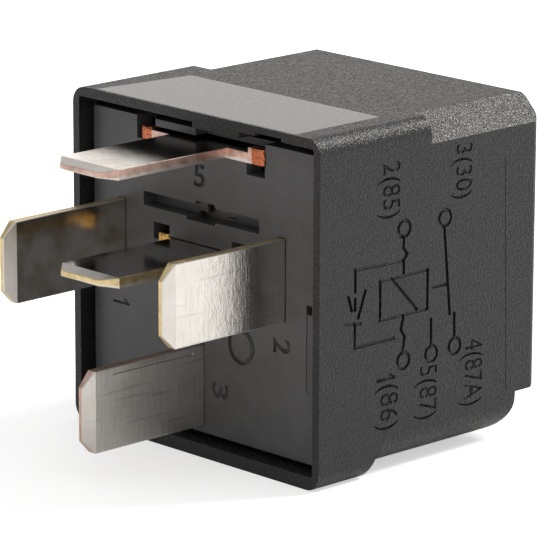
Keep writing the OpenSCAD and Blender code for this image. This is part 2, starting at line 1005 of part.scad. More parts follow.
module return_spring() {
    count = spring_turns * spring_steps;
    turns = [for (i = [0:count]) i / spring_steps];
    path = concat(
        [[0, spring_y0 - lug_t * 3 / 4, 0]],
        [
            for (turn = turns)
                [
                    spring_radius(turn) * cos(360 * turn),
                    spring_y0 + end_reach
                        + (spring_y1 - spring_y0 - 2 * end_reach) * turn / spring_turns,
                    spring_radius(turn) * sin(360 * turn)
                ]
        ],
        [[0, spring_y1 + arm_t / 2, 0]]
    );
    normals = [for (turn = concat([0], turns, [spring_turns])) [cos(360 * turn), 0, sin(360 * turn)]];
    color("#9aa0a6")
        placed()
            translate([pattern_x, 0, spring_z])
                tube(path, normals, spring_wire / 2, 6);
}

// Braid from terminal 30's strip round the armature's side to the back of the contact blade
braid_steps = 20;
braid_rise = 2.2;
braid_z = rivet_z + braid_rise;
braid_gap = 0.03;
braid_lap = 3;
braid_swing = 1.3;
braid_pull = 1;
braid_drop = 0.2;

function bezier(p, t) =
    pow(1 - t, 3) * p[0] + 3 * t * pow(1 - t, 2) * p[1] + 3 * pow(t, 2) * (1 - t) * p[2]
    + pow(t, 3) * p[3];

module braid() {
    r = braid_d / 2;
    start_x = left_strip_x + blade_t + braid_gap + r;
    start_z = strip_30_high - r - braid_drop;
    leaf_y = leaf_back + (braid_z + r - yoke_low) * sin(open_angle);
    end_y = leaf_y + braid_gap + r;
    out_y = (leaf_back + in_rear) / 2 + braid_swing;
    path = concat(
        [[start_x, strip_30_end - braid_lap, start_z]],
        [
            for (i = [0:braid_steps])
                bezier([
                    [start_x, strip_30_end, start_z], [start_x, out_y, start_z],
                    [-yoke_w / 2 - braid_pull, out_y, braid_z],
                    [-leaf_w / 2 - braid_pull / 2, end_y, braid_z]
                ], i / braid_steps)
        ],
        [[-leaf_w / 4, end_y, braid_z]]
    );
    color("#b5652f")
        placed()
            translate([pattern_x, 0, 0])
                tube(path, [for (p = path) [0, 0, 1]], r, 10);
}

// Diode across the coil, lying on the tape, and its two leads down to the coil terminals
diode_set_back = 2.6;
diode_y = flange_front + flange_t + diode_set_back;
diode_z = coil_z + coil_d / 2 + tape_t + snug + diode_d / 2;
lead_z = coil_term_z + tail_h / 2 - 0.6;

module diode() {
    color("#202022")
        placed()
            translate([pattern_x - diode_l / 2, diode_y, diode_z])
                rotate([0, 90, 0])
                    cylinder(d = diode_d, h = diode_l);
}

module diode_lead(side) {
    face_x = coil_x - blade_t / 2 - lead_d / 2;
    translate([pattern_x, 0, 0])
        wire([
            [side * diode_l / 2, diode_y, diode_z],
            [side * (face_x - 0.4), diode_y, diode_z],
            [side * face_x, tail_end - 0.6, lead_z]
        ], lead_d);
}

module diode_lead_85() {
    color("#c4c6c8")
        placed()
            diode_lead(1);
}

module diode_lead_86() {
    color("#c4c6c8")
        placed()
            diode_lead(-1);
}

// Ends of the winding, led round the front flange to the coil terminals
coil_lead_d = 0.3;

module coil_lead(side) {
    face_x = coil_x - blade_t / 2 - coil_lead_d / 2;
    out_x = flange_s / 2 + 0.5;
    lead_y = flange_front + flange_t + 0.4;
    wind_z = coil_z + 3.6;
    wind_x = sqrt(pow(coil_d / 2 + tape_t + snug + coil_lead_d / 2, 2) - pow(wind_z - coil_z, 2));
    translate([pattern_x, 0, 0])
        wire([
            [side * wind_x, lead_y, wind_z],
            [side * out_x, lead_y, wind_z],
            [side * face_x, tail_end - 0.4, lead_z - 1]
        ], coil_lead_d);
}

module coil_lead_85() {
    color("#8a3b1e")
        placed()
            coil_lead(1);
}

module coil_lead_86() {
    color("#8a3b1e")
        placed()
            coil_lead(-1);
}

cover();
base();
terminal_30();
terminal_85();
terminal_86();
terminal_87();
terminal_87a();
yoke();
bobbin();
coil_winding();
coil_tape();
core();
armature();
contact_blade();
blade_rivets();
moving_contact();
no_contact();
nc_contact();
return_spring();
braid();
diode();
diode_lead_85();
diode_lead_86();
coil_lead_85();
coil_lead_86();
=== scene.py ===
import json
import math

import bmesh
import bpy
from bpy.props import FloatProperty, FloatVectorProperty, PointerProperty
from mathutils import Matrix, Vector

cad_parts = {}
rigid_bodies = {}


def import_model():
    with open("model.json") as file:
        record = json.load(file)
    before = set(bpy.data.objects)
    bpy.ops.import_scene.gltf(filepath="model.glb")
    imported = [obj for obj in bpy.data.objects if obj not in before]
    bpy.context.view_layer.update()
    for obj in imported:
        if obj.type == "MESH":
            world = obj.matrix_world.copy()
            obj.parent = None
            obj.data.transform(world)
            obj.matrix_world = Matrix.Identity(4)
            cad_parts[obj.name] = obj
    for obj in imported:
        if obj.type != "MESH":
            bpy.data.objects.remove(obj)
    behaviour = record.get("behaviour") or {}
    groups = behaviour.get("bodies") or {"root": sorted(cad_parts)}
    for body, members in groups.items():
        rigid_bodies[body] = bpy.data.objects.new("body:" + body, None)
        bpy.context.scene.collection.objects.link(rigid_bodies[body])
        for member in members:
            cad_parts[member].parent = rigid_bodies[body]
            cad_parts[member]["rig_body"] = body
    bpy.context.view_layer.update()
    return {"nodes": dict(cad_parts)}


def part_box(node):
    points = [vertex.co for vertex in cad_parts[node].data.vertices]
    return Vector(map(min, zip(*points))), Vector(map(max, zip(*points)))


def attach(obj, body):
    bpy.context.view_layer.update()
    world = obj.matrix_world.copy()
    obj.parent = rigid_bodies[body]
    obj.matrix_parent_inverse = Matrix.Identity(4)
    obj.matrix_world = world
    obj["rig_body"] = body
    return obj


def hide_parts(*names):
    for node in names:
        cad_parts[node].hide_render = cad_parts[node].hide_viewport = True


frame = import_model()

bl_info = {
    "name": "Automotive Relay",
    "version": (1, 0, 0),
    "blender": (4, 5, 0),
    "location": "View3D > Sidebar > Relay",
    "description": "Builds the finishes and the marked pieces of a plug-in changeover relay",
    "category": "Add Mesh",
}

MM = 0.001
# Vertices this close are one, and a cutting plane passes through any this close to it
WELD = 0.0005 * MM
ON_PLANE = 1e-7
# A face is on a level when it is this close to it, and looks along an axis when its normal does
NEAR = 0.01 * MM
FACING = 0.999
# Turns between two faces, in degrees: up to FLAT_TURN they become one, over ROUND_TURN their edge
# is rounded, and over SMOOTH_TURN, or the blades' own, it is shaded sharp
FLAT_TURN = 0.4
ROUND_TURN = 28.0
SMOOTH_TURN = 32.0
BLADE_SMOOTH_TURN = 7.0

COVER_LOW, COVER_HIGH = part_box("cover")
MID_X = (COVER_LOW.x + COVER_HIGH.x) / 2
TERMINALS = ("terminal_30", "terminal_85", "terminal_86", "terminal_87", "terminal_87a")
COPPER_BLADES = ("terminal_30", "terminal_87")
FLAT_BLADES = ("terminal_87", "terminal_87a")
BASE_FACE_Y = COVER_LOW.y + 1.15 * MM

# Staked ends of a cross strip: their width, where they start behind the rim, and their rounding
# as a multiple of an edge's
END_WIDTH = 1.2 * MM
END_START = 0.6 * MM
END_ROUNDING = 4
# Depths behind the base's face at which a blade's front stretch ends and its stretch painted dark
# begins, a painted shade for the shadow deep in the housing
FRONT_DEPTH = 0.1 * MM
SHADE_DEPTH = 1.6 * MM
# Share of a face's normal that lies across the strip, on a plated face and on a coined slope
PLATED_SHARE = 0.998
COINED_SHARE = 0.9
# Line scribed on blade 30, in millimetres: from the tip, under the edge, its width and its depth
SCRIBED_FROM_TIP = 3.0
SCRIBED_UNDER_EDGE = 0.5
SCRIBED_WIDTH = 0.15
SCRIBED_DEPTH = 0.14

# Places of the materials in a piece's list
GRAIN, POLISHED = range(2)
TIN, EDGE, END, SHADED_INNER, COINED_TIP = range(5)

# Plating of the coined tips and of each blade: roughness, then how speckled, brushed and
# stained it is, from 0 to 1
COINED = (0.42, 0.1, 0.15, 0.1)
FINISHES = {
    "terminal_30": (0.42, 0.05, 0.8, 0.02),
    "terminal_85": (0.14, 0.9, 0.5, 0.1),
    "terminal_86": (0.16, 0.06, 0.3, 0.6),
    "terminal_87": (0.055, 0.4, 0.12, 0.25),
    "terminal_87a": (0.1, 0.12, 0.1, 0.1),
}


# Sizes and colours ------------------------------------------------------------------------

class RelayCoverSettings(bpy.types.PropertyGroup):
    edge: FloatProperty(
        name="Edge", description="Rounding of the cover's outer edges",
        default=0.12 * MM, unit="LENGTH", precision=5)
    tone: FloatVectorProperty(
        name="Tone", description="Colour of the cover's plastic",
        default=(0.0195, 0.019, 0.0192), subtype="COLOR")
    base_tone: FloatVectorProperty(
        name="Base tone", description="Colour of the base plate's plastic",
        default=(0.080, 0.078, 0.079), subtype="COLOR")
    groove: FloatProperty(
        name="Groove", description="Width of the circuit's engraved lines",
        default=0.27 * MM, unit="LENGTH", precision=5)
    groove_depth: FloatProperty(
        name="Groove depth", description="Depth of the engraved lines that run up the cover",
        default=0.24 * MM, unit="LENGTH", precision=5)
    shallow_depth: FloatProperty(
        name="Shallow depth", description="Depth of the engraved lines that run along it",
        default=0.09 * MM, unit="LENGTH", precision=5)
    numeral_depth: FloatProperty(
        name="Numeral depth", description="Depth of the rings and the numerals",
        default=0.15 * MM, unit="LENGTH", precision=5)


class RelayBladeSettings(bpy.types.PropertyGroup):
    edge: FloatProperty(
        name="Edge", description="Rounding of the blades' sheared edges",
        default=0.06 * MM, unit="LENGTH", precision=5)
    tin: FloatVectorProperty(
        name="Tin", description="Colour of the plated faces",
        default=(0.79, 0.755, 0.705), subtype="COLOR")
    brass: FloatVectorProperty(
        name="Brass", description="Colour of a brass blade's bare edges",
        default=(0.90, 0.70, 0.36), subtype="COLOR")
    copper: FloatVectorProperty(
        name="Copper", description="Colour of a copper blade's bare edges",
        default=(0.82, 0.56, 0.47), subtype="COLOR")
    end_copper: FloatVectorProperty(
        name="End copper", description="Colour of a copper strip's staked ends",
        default=(0.56, 0.17, 0.08), subtype="COLOR")
    end_brass: FloatVectorProperty(
        name="End brass", description="Colour of a brass strip's staked ends",
        default=(0.84, 0.52, 0.17), subtype="COLOR")
    # Painted shade: a dull dark colour put on the strips deep in the housing to stand for the
    # shadow there, not the metal's own colour
    dark: FloatVectorProperty(
        name="Dark", description="Colour of the strips inside the housing",
        default=(0.20, 0.18, 0.16), subtype="COLOR")


class RelayStageSettings(bpy.types.PropertyGroup):
    azimuth: FloatProperty(
        name="Azimuth", description="Turn of the camera round the relay",
        default=math.radians(46.08), subtype="ANGLE")
    elevation: FloatProperty(
        name="Elevation", description="Height angle of the camera",
        default=math.radians(14.52), subtype="ANGLE")
    roll: FloatProperty(
        name="Roll", description="Turn of the camera about its own axis",
        default=math.radians(0.18), subtype="ANGLE")
    distance: FloatProperty(
        name="Distance", description="From the camera to the point that it aims at",
        default=320.4 * MM, unit="LENGTH")
    lens: FloatProperty(
        name="Lens", description="Focal length in millimetres", default=276.3)
    aim: FloatVectorProperty(
        name="Aim", description="Point that the camera aims at",
        default=(-1.80 * MM, 3.66 * MM, 12.17 * MM), subtype="XYZ")
    floor: FloatVectorProperty(
        name="Floor", description="Colour of the floor",
        default=(0.82, 0.82, 0.82), subtype="COLOR")


# Materials --------------------------------------------------------------------------------

# Sockets of a Mix node that works on colours
MIX_FIRST, MIX_SECOND, MIX_RESULT = 6, 7, 2
# A wave texture of scale 1 / (pitch * WAVE_BANDS) has bands about one pitch wide
WAVE_BANDS = 6.5
# Nearly all of a noise's values lie between these
NOISE_RANGE = (0.3, 0.7)


class Surface:
    """A principled material and the nodes that vary it over Object coordinates."""

    def __init__(self, name, colour, metallic=0.0, roughness=0.5):
        self.material = bpy.data.materials.new(name)
        self.material.use_nodes = True
        self.nodes = self.material.node_tree.nodes
        self.links = self.material.node_tree.links
        self.shader = self.nodes["Principled BSDF"]
        self.shader.inputs["Base Color"].default_value = (*colour, 1.0)
        self.shader.inputs["Metallic"].default_value = metallic
        self.shader.inputs["Roughness"].default_value = roughness
        self.place = self.nodes.new("ShaderNodeTexCoord").outputs["Object"]

    def add(self, kind, **inputs):
        node = self.nodes.new("ShaderNode" + kind)
        for name, value in inputs.items():
            self.feed(node, name.replace("_", " "), value)
        return node

    def feed(self, node, name, value):
        if isinstance(value, bpy.types.NodeSocket):
            self.links.new(value, node.inputs[name])
        else:
            node.inputs[name].default_value = value

    def stretched(self, scale):
        """Object coordinates stretched by a factor along each axis."""
        return self.add("Mapping", Vector=self.place, Scale=scale).outputs["Vector"]

    def noise(self, grain, detail=2.0, place=None, rough=0.5):
        """Noise whose lumps are about grain across."""
        node = self.add("TexNoise", Vector=place or self.place, Scale=1.0 / grain,
                        Detail=detail, Roughness=rough)
        return node.outputs["Fac"]

    def spread(self, value, low, high, to_low, to_high):
        """Value between low and high, spread over to_low to to_high."""
        node = self.add("MapRange")
        self.links.new(value, node.inputs["Value"])
        limits = {"From Min": low, "From Max": high, "To Min": to_low, "To Max": to_high}
        for name, number in limits.items():
            self.feed(node, name, number)
        return node.outputs["Result"]

    def mix(self, amount, first, second):
        """Colour between first and second."""
        node = self.nodes.new("ShaderNodeMix")
        node.data_type = "RGBA"
        self.links.new(amount, node.inputs["Factor"])
        for index, colour in ((MIX_FIRST, first), (MIX_SECOND, second)):
            if isinstance(colour, bpy.types.NodeSocket):
                self.links.new(colour, node.inputs[index])
            else:
                node.inputs[index].default_value = (*colour, 1.0)
        return node.outputs[MIX_RESULT]

    def scaled(self, value, factor, more):
        """Value times a factor, plus more."""
        node = self.nodes.new("ShaderNodeMath")
        node.operation = "MULTIPLY_ADD"
        for index, part in enumerate((value, factor, more)):
            self.feed(node, index, part)
        return node.outputs[0]

    def colour(self, value):
        self.links.new(value, self.shader.inputs["Base Color"])

    def roughness(self, value):
        self.links.new(value, self.shader.inputs["Roughness"])

    def bump(self, height, depth, under=None):
        node = self.add("Bump", Strength=1.0, Distance=depth, Height=height)
        if under is not None:
            self.links.new(under, node.inputs["Normal"])
        return node.outputs["Normal"]

    def relief(self, normal):
        self.links.new(normal, self.shader.inputs["Normal"])


def shade(colour, factor):
    return tuple(min(1.0, part * factor) for part in colour)


def eroded_plastic(name, tone):
    """Black plastic off a spark-eroded mould: a fine grain whose peaks are glossier."""
    surface = Surface(name, tone, roughness=0.3)
    surface.shader.inputs["Specular IOR Level"].default_value = 0.36
    grain = surface.noise(0.19 * MM, detail=2.0, rough=0.7)
    surface.colour(surface.mix(
        surface.spread(grain, 0.35, 0.65, 0.0, 1.0), shade(tone, 0.6), shade(tone, 1.4)))
    surface.roughness(surface.spread(grain, 0.38, 0.62, 0.46, 0.2))
    surface.relief(surface.bump(grain, 0.09 * MM))
    return surface.material


def polished_plastic(name, tone):
    """The same plastic off a polished field of the mould."""
    surface = Surface(name, tone, roughness=0.15)
    marks = surface.noise(0.5 * MM, detail=4.0)
    surface.roughness(surface.spread(marks, *NOISE_RANGE, 0.12, 0.2))
    surface.relief(surface.bump(marks, 0.004 * MM))
    return surface.material


def smooth_plastic(name, tone):
    """Semi-gloss moulded plastic with slight flow marks."""
    surface = Surface(name, tone, roughness=0.4)
    flow = surface.noise(1.4 * MM, detail=3.0)
    fine = surface.noise(0.12 * MM, detail=2.0)
    surface.colour(surface.mix(
        surface.spread(flow, *NOISE_RANGE, 0.0, 1.0), shade(tone, 0.85), shade(tone, 1.15)))
    surface.roughness(surface.spread(flow, *NOISE_RANGE, 0.34, 0.46))
    surface.relief(surface.bump(fine, 0.006 * MM))
    return surface.material


def tin_plating(name, tone, finish):
    """Tin over rolled strip: speckle and dimples, brush marks and scratches, and stains."""
    gloss, speckled, brushed, stained = finish
    surface = Surface(name, tone, metallic=1.0, roughness=gloss)
    speckle = surface.noise(0.16 * MM, detail=5.0, rough=0.7)
    dimples = surface.noise(0.5 * MM, detail=2.0, place=surface.stretched((1.0, 1.0, 0.5)))
    lines = surface.noise(
        0.16 * MM, detail=2.0, place=surface.stretched((0.2, 1.0, 0.05)))
    scratches = surface.noise(
        0.3 * MM, detail=1.0, place=surface.stretched((0.2, 0.04, 1.0)))
    smears = surface.noise(1.8 * MM, detail=4.0)
    dull = tuple(part * (1.0 - stained * loss) for part, loss in zip(tone, (0.6, 0.75, 0.9)))
    plated = surface.mix(surface.spread(smears, 0.4, 0.7, 0.0, 1.0), tone, dull)
    scratched = surface.spread(scratches, 0.6, 0.68, 0.0, brushed * 0.45)
    streaked = surface.mix(
        surface.spread(lines, 0.35, 0.65, 0.0, brushed * 0.35), plated, shade(dull, 0.6))
    surface.colour(surface.mix(scratched, streaked, shade(dull, 0.4)))
    surface.roughness(surface.spread(speckle, *NOISE_RANGE, gloss * 0.7, gloss * 1.3))
    rolled = surface.bump(lines, brushed * 0.014 * MM)
    dimpled = surface.bump(dimples, speckled * 0.02 * MM, rolled)
    surface.relief(surface.bump(speckle, speckled * 0.02 * MM, dimpled))
    return surface.material


def sheared_edge(name, tone, tin, axis, middle, side):
    """Edge of a strip: bare metal, with tin dragged over it towards one face by the shear."""
    surface = Surface(name, tone, metallic=1.0, roughness=0.4)
    drag = surface.noise(
        0.08 * MM, detail=3.0, place=surface.stretched((1.0, 0.2, 1.0)), rough=0.6)
    patches = surface.noise(0.9 * MM, detail=3.0)
    bare = surface.mix(
        surface.spread(patches, 0.4, 0.7, 0.0, 1.0), tone, shade(tone, 0.65))
    level = surface.add("SeparateXYZ", Vector=surface.place).outputs[axis]
    wave, offset, fade = 0.5 * MM, side * 0.08 * MM, side * 0.09 * MM
    wavy = surface.scaled(patches, wave, level)
    start = middle + wave / 2 + offset
    tinned = surface.spread(wavy, start, start + fade, 0.0, 0.75)
    surface.colour(surface.mix(tinned, bare, tin))
    surface.roughness(surface.spread(drag, *NOISE_RANGE, 0.28, 0.5))
    surface.relief(surface.bump(drag, 0.012 * MM))
    return surface.material


def plain_metal(name, tone, roughness, grain, depth):
    """Bare metal with a grain of one size, rough or fine by its depth."""
    surface = Surface(name, tone, metallic=1.0, roughness=roughness)
    texture = surface.noise(grain, detail=3.0)
    surface.roughness(surface.spread(texture, *NOISE_RANGE, roughness * 0.8, roughness * 1.25))
    surface.relief(surface.bump(texture, depth))
    return surface.material


def ringed_metal(name, tone, dull, pitch, axis):
    """Thin wire lying side by side: light and dark bands, each about one pitch wide."""
    surface = Surface(name, tone, metallic=0.7, roughness=0.32)
    bands = surface.add("TexWave", Vector=surface.place, Scale=1.0 / pitch / WAVE_BANDS,
                        Distortion=0.0)
    bands.bands_direction = axis
    surface.colour(surface.mix(bands.outputs["Fac"], dull, tone))
    surface.relief(surface.bump(bands.outputs["Fac"], pitch * 0.3))
    return surface.material


def coloured_plastic(name, tone, roughness, grain):
    """Inner moulded or film piece in one colour."""
    surface = Surface(name, tone, roughness=roughness)
    texture = surface.noise(grain, detail=3.0)
    surface.colour(surface.mix(
        surface.spread(texture, *NOISE_RANGE, 0.0, 1.0), shade(tone, 0.85), shade(tone, 1.1)))
    surface.relief(surface.bump(texture, 0.005 * MM))
    return surface.material


# Meshes -----------------------------------------------------------------------------------

def node_mesh(name):
    """A CAD node's form as one welded bmesh with its flat faces whole."""
    form = bmesh.new()
    form.from_mesh(frame["nodes"][name].data)
    bmesh.ops.remove_doubles(form, verts=form.verts, dist=WELD)
    bmesh.ops.dissolve_limit(
        form, angle_limit=math.radians(FLAT_TURN), use_dissolve_boundaries=False,
        verts=form.verts, edges=form.edges, delimit={"NORMAL"})
    return form


def soften_edges(form, width, segments=2, edges=None):
    """Rounds the edges that turn, of those given or of the whole form."""
    sharp = [
        edge for edge in (form.edges if edges is None else edges)
        if edge.is_manifold and edge.calc_face_angle() > math.radians(ROUND_TURN)
    ]
    bmesh.ops.bevel(
        form, geom=sharp, offset=width, offset_type="OFFSET", segments=segments, profile=0.5,
        affect="EDGES", clamp_overlap=True, material=-1)


def settle_shading(piece, smooth_angle):
    """Smooth faces whose normals follow the largest face at each corner."""
    mesh = piece.data
    mesh.polygons.foreach_set("use_smooth", [True] * len(mesh.polygons))
    mesh.set_sharp_from_angle(angle=math.radians(smooth_angle))
    weigh = piece.modifiers.new("Face weights", "WEIGHTED_NORMAL")
    weigh.mode = "FACE_AREA"
    weigh.weight = 100
    weigh.keep_sharp = True


def finished_object(form, name, materials, smooth_angle=SMOOTH_TURN):
    """Turns a bmesh into an object with smooth faces and its sharp edges marked."""
    mesh = bpy.data.meshes.new(name)
    form.to_mesh(mesh)
    form.free()
    piece = bpy.data.objects.new(name, mesh)
    bpy.context.scene.collection.objects.link(piece)
    for material in materials:
        mesh.materials.append(material)
    settle_shading(piece, smooth_angle)
    return piece


def bisect(form, faces, point, normal):
    """Cuts some of a form's faces along a plane."""
    around = {item for face in faces for item in (*face.edges, *face.verts)}
    bmesh.ops.bisect_plane(
        form, geom=[*faces, *around], plane_co=point, plane_no=normal, dist=ON_PLANE)


def stand_for(piece, node):
    """Puts a piece in its CAD node's place."""
    body = frame["nodes"][node]["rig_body"]
    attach(piece, body)
    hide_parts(node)


def cut_away(piece, cutter_form, smooth_angle=SMOOTH_TURN):
    """Takes a set of closed shapes out of a piece."""
    mesh = bpy.data.meshes.new("cutter")
    cutter_form.to_mesh(mesh)
    cutter_form.free()
    cutter = bpy.data.objects.new("cutter", mesh)
    bpy.context.scene.collection.objects.link(cutter)
    piece.modifiers.clear()
    cut = piece.modifiers.new("Engraving", "BOOLEAN")
    cut.operation = "DIFFERENCE"
    cut.solver = "EXACT"
    cut.use_self = True
    cut.object = cutter
    graph = bpy.context.evaluated_depsgraph_get()
    carved = bpy.data.meshes.new_from_object(piece.evaluated_get(graph))
    piece.modifiers.clear()
    old = piece.data
    piece.data = carved
    carved.name = old.name
    bpy.data.meshes.remove(old)
    bpy.data.objects.remove(cutter)
    bpy.data.meshes.remove(mesh)
    settle_shading(piece, smooth_angle)


# Engraving --------------------------------------------------------------------------------

# Sides that a round groove is drawn with, and the level of a one's flag in its height
RING_STEPS = 28
FLAG_LEVEL = 0.72


class Plane:
    """A flat face to engrave: its origin, its two directions and its outward normal."""

    def __init__(self, origin, across, up):
        self.origin = Vector(origin)
        self.across = Vector(across)
        self.up = Vector(up)
        self.out = self.across.cross(self.up)

    def at(self, a, b):
        return self.origin + self.across * a * MM + self.up * b * MM

    def matrix(self, a, b, turn=0.0):
        rotation = Matrix((self.across, self.up, self.out)).transposed().to_4x4()
        return Matrix.Translation(self.at(a, b)) @ rotation @ Matrix.Rotation(turn, 4, "Z")


def add_line(form, plane, start, end, width, depth):
    """Straight groove from start to end, both in millimetres on the plane."""
    (a0, b0), (a1, b1) = start, end
    length = math.hypot(a1 - a0, b1 - b0) * MM + width
    turn = math.atan2(b1 - b0, a1 - a0)
    place = plane.matrix((a0 + a1) / 2, (b0 + b1) / 2, turn)
    bmesh.ops.create_cube(
        form, size=1.0, matrix=place @ Matrix.Diagonal((length, width, 2 * depth, 1.0)))


def add_path(form, plane, points, width, depth):
    for start, end in zip(points, points[1:]):
        add_line(form, plane, start, end, width, depth)


def add_ring(form, plane, centre, diameter, width, depth):
    """Round groove: a square section spun once round its centre."""
    place = plane.matrix(*centre)
    radius = diameter * MM / 2
    section = [
        form.verts.new(place @ Vector((radius + side * width / 2, 0.0, level * depth)))
        for side, level in ((-1, -1), (1, -1), (1, 1), (-1, 1))
    ]
    sides = [
        form.edges.new((section[index], section[(index + 1) % 4])) for index in range(4)
    ]
    bmesh.ops.spin(
        form, geom=[*section, *sides], cent=place.translation, axis=plane.out,
        angle=math.tau, steps=RING_STEPS, use_merge=True, use_duplicate=False)
    bmesh.ops.recalc_face_normals(form, faces=form.faces)


def add_words(form, plane, words, start, length, height, depth, weight=0.0):
    """Numerals that fill a length and a height from a starting corner."""
    curve = bpy.data.curves.new("numerals", "FONT")
    curve.body = words
    curve.extrude = 1.0
    curve.offset = weight
    curve.resolution_u = 4
    writing = bpy.data.objects.new("numerals", curve)
    bpy.context.scene.collection.objects.link(writing)
    graph = bpy.context.evaluated_depsgraph_get()
    mesh = bpy.data.meshes.new_from_object(writing.evaluated_get(graph))
    low = [min(v.co[axis] for v in mesh.vertices) for axis in (0, 1)]
    high = [max(v.co[axis] for v in mesh.vertices) for axis in (0, 1)]
    size = (
        length * MM / (high[0] - low[0]),
        height * MM / (high[1] - low[1]),
        depth,
    )
    fitted = Matrix.Diagonal((*size, 1.0)) @ Matrix.Translation((-low[0], -low[1], 0.0))
    mesh.transform(plane.matrix(*start) @ fitted)
    letters = bmesh.new()
    letters.from_mesh(mesh)
    bmesh.ops.remove_doubles(letters, verts=letters.verts, dist=WELD)
    merged = bpy.data.meshes.new("numerals")
    letters.to_mesh(merged)
    letters.free()
    form.from_mesh(merged)
    bpy.data.meshes.remove(merged)
    bpy.data.meshes.remove(mesh)
    bpy.data.objects.remove(writing)
    bpy.data.curves.remove(curve)


def add_one(form, plane, start, length, height, width, depth):
    """The numeral one: a stem with a flag, from the same corner as add_words."""
    a, b = start
    half = width / MM / 2
    stem = a + length - half
    flag = (a + half, b + height * FLAG_LEVEL)
    add_path(form, plane, [flag, (stem, b + height - half), (stem, b + half)], width, depth)


# The side's plane has its first direction down the cover and its second towards the closed end,
# so that words placed on it read downwards as on the real cover.
SIDE = Plane(
    (COVER_HIGH.x, COVER_LOW.y, COVER_LOW.z), (0.0, 0.0, -1.0), (0.0, 1.0, 0.0))
FRONT = Plane((MID_X, BASE_FACE_Y, COVER_LOW.z), (1.0, 0.0, 0.0), (0.0, 0.0, 1.0))
FRONT_TURNED = Plane((MID_X, BASE_FACE_Y, COVER_LOW.z), (0.0, 0.0, -1.0), (1.0, 0.0, 0.0))


def side_point(y, z):
    """Point on the side's plane from its depth behind the rim and its height, in millimetres."""
    return (-z, y)


# Circuit on the side: (depth behind the rim, height) in millimetres
CIRCUIT_PATHS = (
    ((12.97, 18.05), (13.67, 11.2)),
    ((8.72, 17.95), (8.63, 17.15), (9.03, 16.6), (8.7, 16.15), (8.71, 15.2)),
    ((6.25, 15.0), (11.25, 15.0), (11.25, 12.0), (6.25, 12.0), (6.25, 15.0)),
    ((7.5, 14.9), (10.15, 12.15)),
    ((8.71, 11.85), (8.45, 10.9), (8.85, 10.3), (8.65, 9.1)),
    ((11.67, 11.1), (11.71, 9.05)),
    ((14.17, 11.1), (14.21, 9.2)),
    ((8.6, 16.15), (3.65, 16.3), (3.65, 14.7)),
    ((2.95, 14.35), (3.3, 13.3)),
    ((4.7, 14.55), (4.0, 12.65)),
    ((3.65, 14.1), (3.65, 13.3)),
    ((2.55, 12.4), (4.2, 12.15)),
    ((3.65, 12.2), (3.65, 10.4), (7.7, 10.4)),
    ((11.85, 13.55), (13.35, 13.5)),
)
CIRCUIT_RINGS = ((13.04, 18.65), (8.71, 18.57), (8.73, 8.47), (11.72, 8.42), (14.24, 8.56))
CIRCUIT_RING_D = 1.25
# Terminal numbers: words, depth of the baseline, height where they start, length, height of type
CIRCUIT_WORDS = (
    ("3(30)", 13.6, 24.0, 4.15, 2.3),
    ("2(85)", 5.85, 23.8, 4.2, 2.4),
    ("(86)", 5.75, 6.95, 3.5, 2.5),
    ("5(87)", 9.9, 7.6, 4.15, 2.5),
    ("4(87A)", 14.75, 8.75, 5.2, 2.6),
)
CIRCUIT_ONE = (5.95, 7.75, 0.5, 1.95)
# Seam of the mould near the closed end: (depth, height) of its two ends, and how many times
# finer and shallower it is than the circuit's rings
SEAM = ((19.5, 22.1), (20.0, 3.9))
SEAM_FINER = 4
SEAM_SHALLOWER = 6

# Numerals on the base, from the cover's middle: across, up, width, height
UPRIGHT_NUMERALS = (("5", -1.15, 20.5, 1.25, 1.75),)
TURNED_NUMERALS = (("2", 7.45, 10.55, 1.2, 1.85), ("3", 0.85, 5.75, 1.2, 1.8))
TURNED_ONE = (-10.25, 10.3, 0.5, 1.85)
# How much heavier than plain type they are, and the one's line as a share of the circuit's
BASE_WEIGHT = 0.02
BASE_LINE = 0.7
# Round ejector mark in the base: its middle, its diameter, and its line as a multiple of the
# one's
EJECTOR_MARK = (4.0, 9.08)
EJECTOR_D = 2.6
EJECTOR_LINE = 1.4

# Polished field on the upper side, from the cover's left edge and the rim
FIELD_FRONT = 0.25
FIELD_BACK = 8.9
FIELD_LEFT = ((2.5, 0.25), (3.7, 8.9))
FIELD_RIGHT = 24.1


def on_top(face):
    """True for a face of the cover's upper side."""
    level = face.calc_center_median().z
    return face.normal.z > FACING and abs(level - COVER_HIGH.z) < NEAR


def split_top(form):
    """Cuts the outline of the polished field into the cover's upper side."""
    top = COVER_HIGH.z
    left = COVER_LOW.x
    rim = COVER_LOW.y
    (x0, y0), (x1, y1) = FIELD_LEFT
    slant = Vector((y1 - y0, x0 - x1, 0.0)).normalized()
    cuts = (
        ((left, rim + FIELD_BACK * MM, top), (0.0, 1.0, 0.0)),
        ((left, rim + FIELD_FRONT * MM, top), (0.0, 1.0, 0.0)),
        ((left + x0 * MM, rim + y0 * MM, top), slant),
        ((left + FIELD_RIGHT * MM, rim, top), (1.0, 0.0, 0.0)),
    )
    for point, normal in cuts:
        bisect(form, [face for face in form.faces if on_top(face)], point, normal)


def in_field(point):
    """True on the polished field of the upper side."""
    x = (point.x - COVER_LOW.x) / MM
    y = (point.y - COVER_LOW.y) / MM
    (x0, y0), (x1, y1) = FIELD_LEFT
    left = x0 + (x1 - x0) * (y - y0) / (y1 - y0)
    return left < x < FIELD_RIGHT and FIELD_FRONT < y < FIELD_BACK


# Operators --------------------------------------------------------------------------------

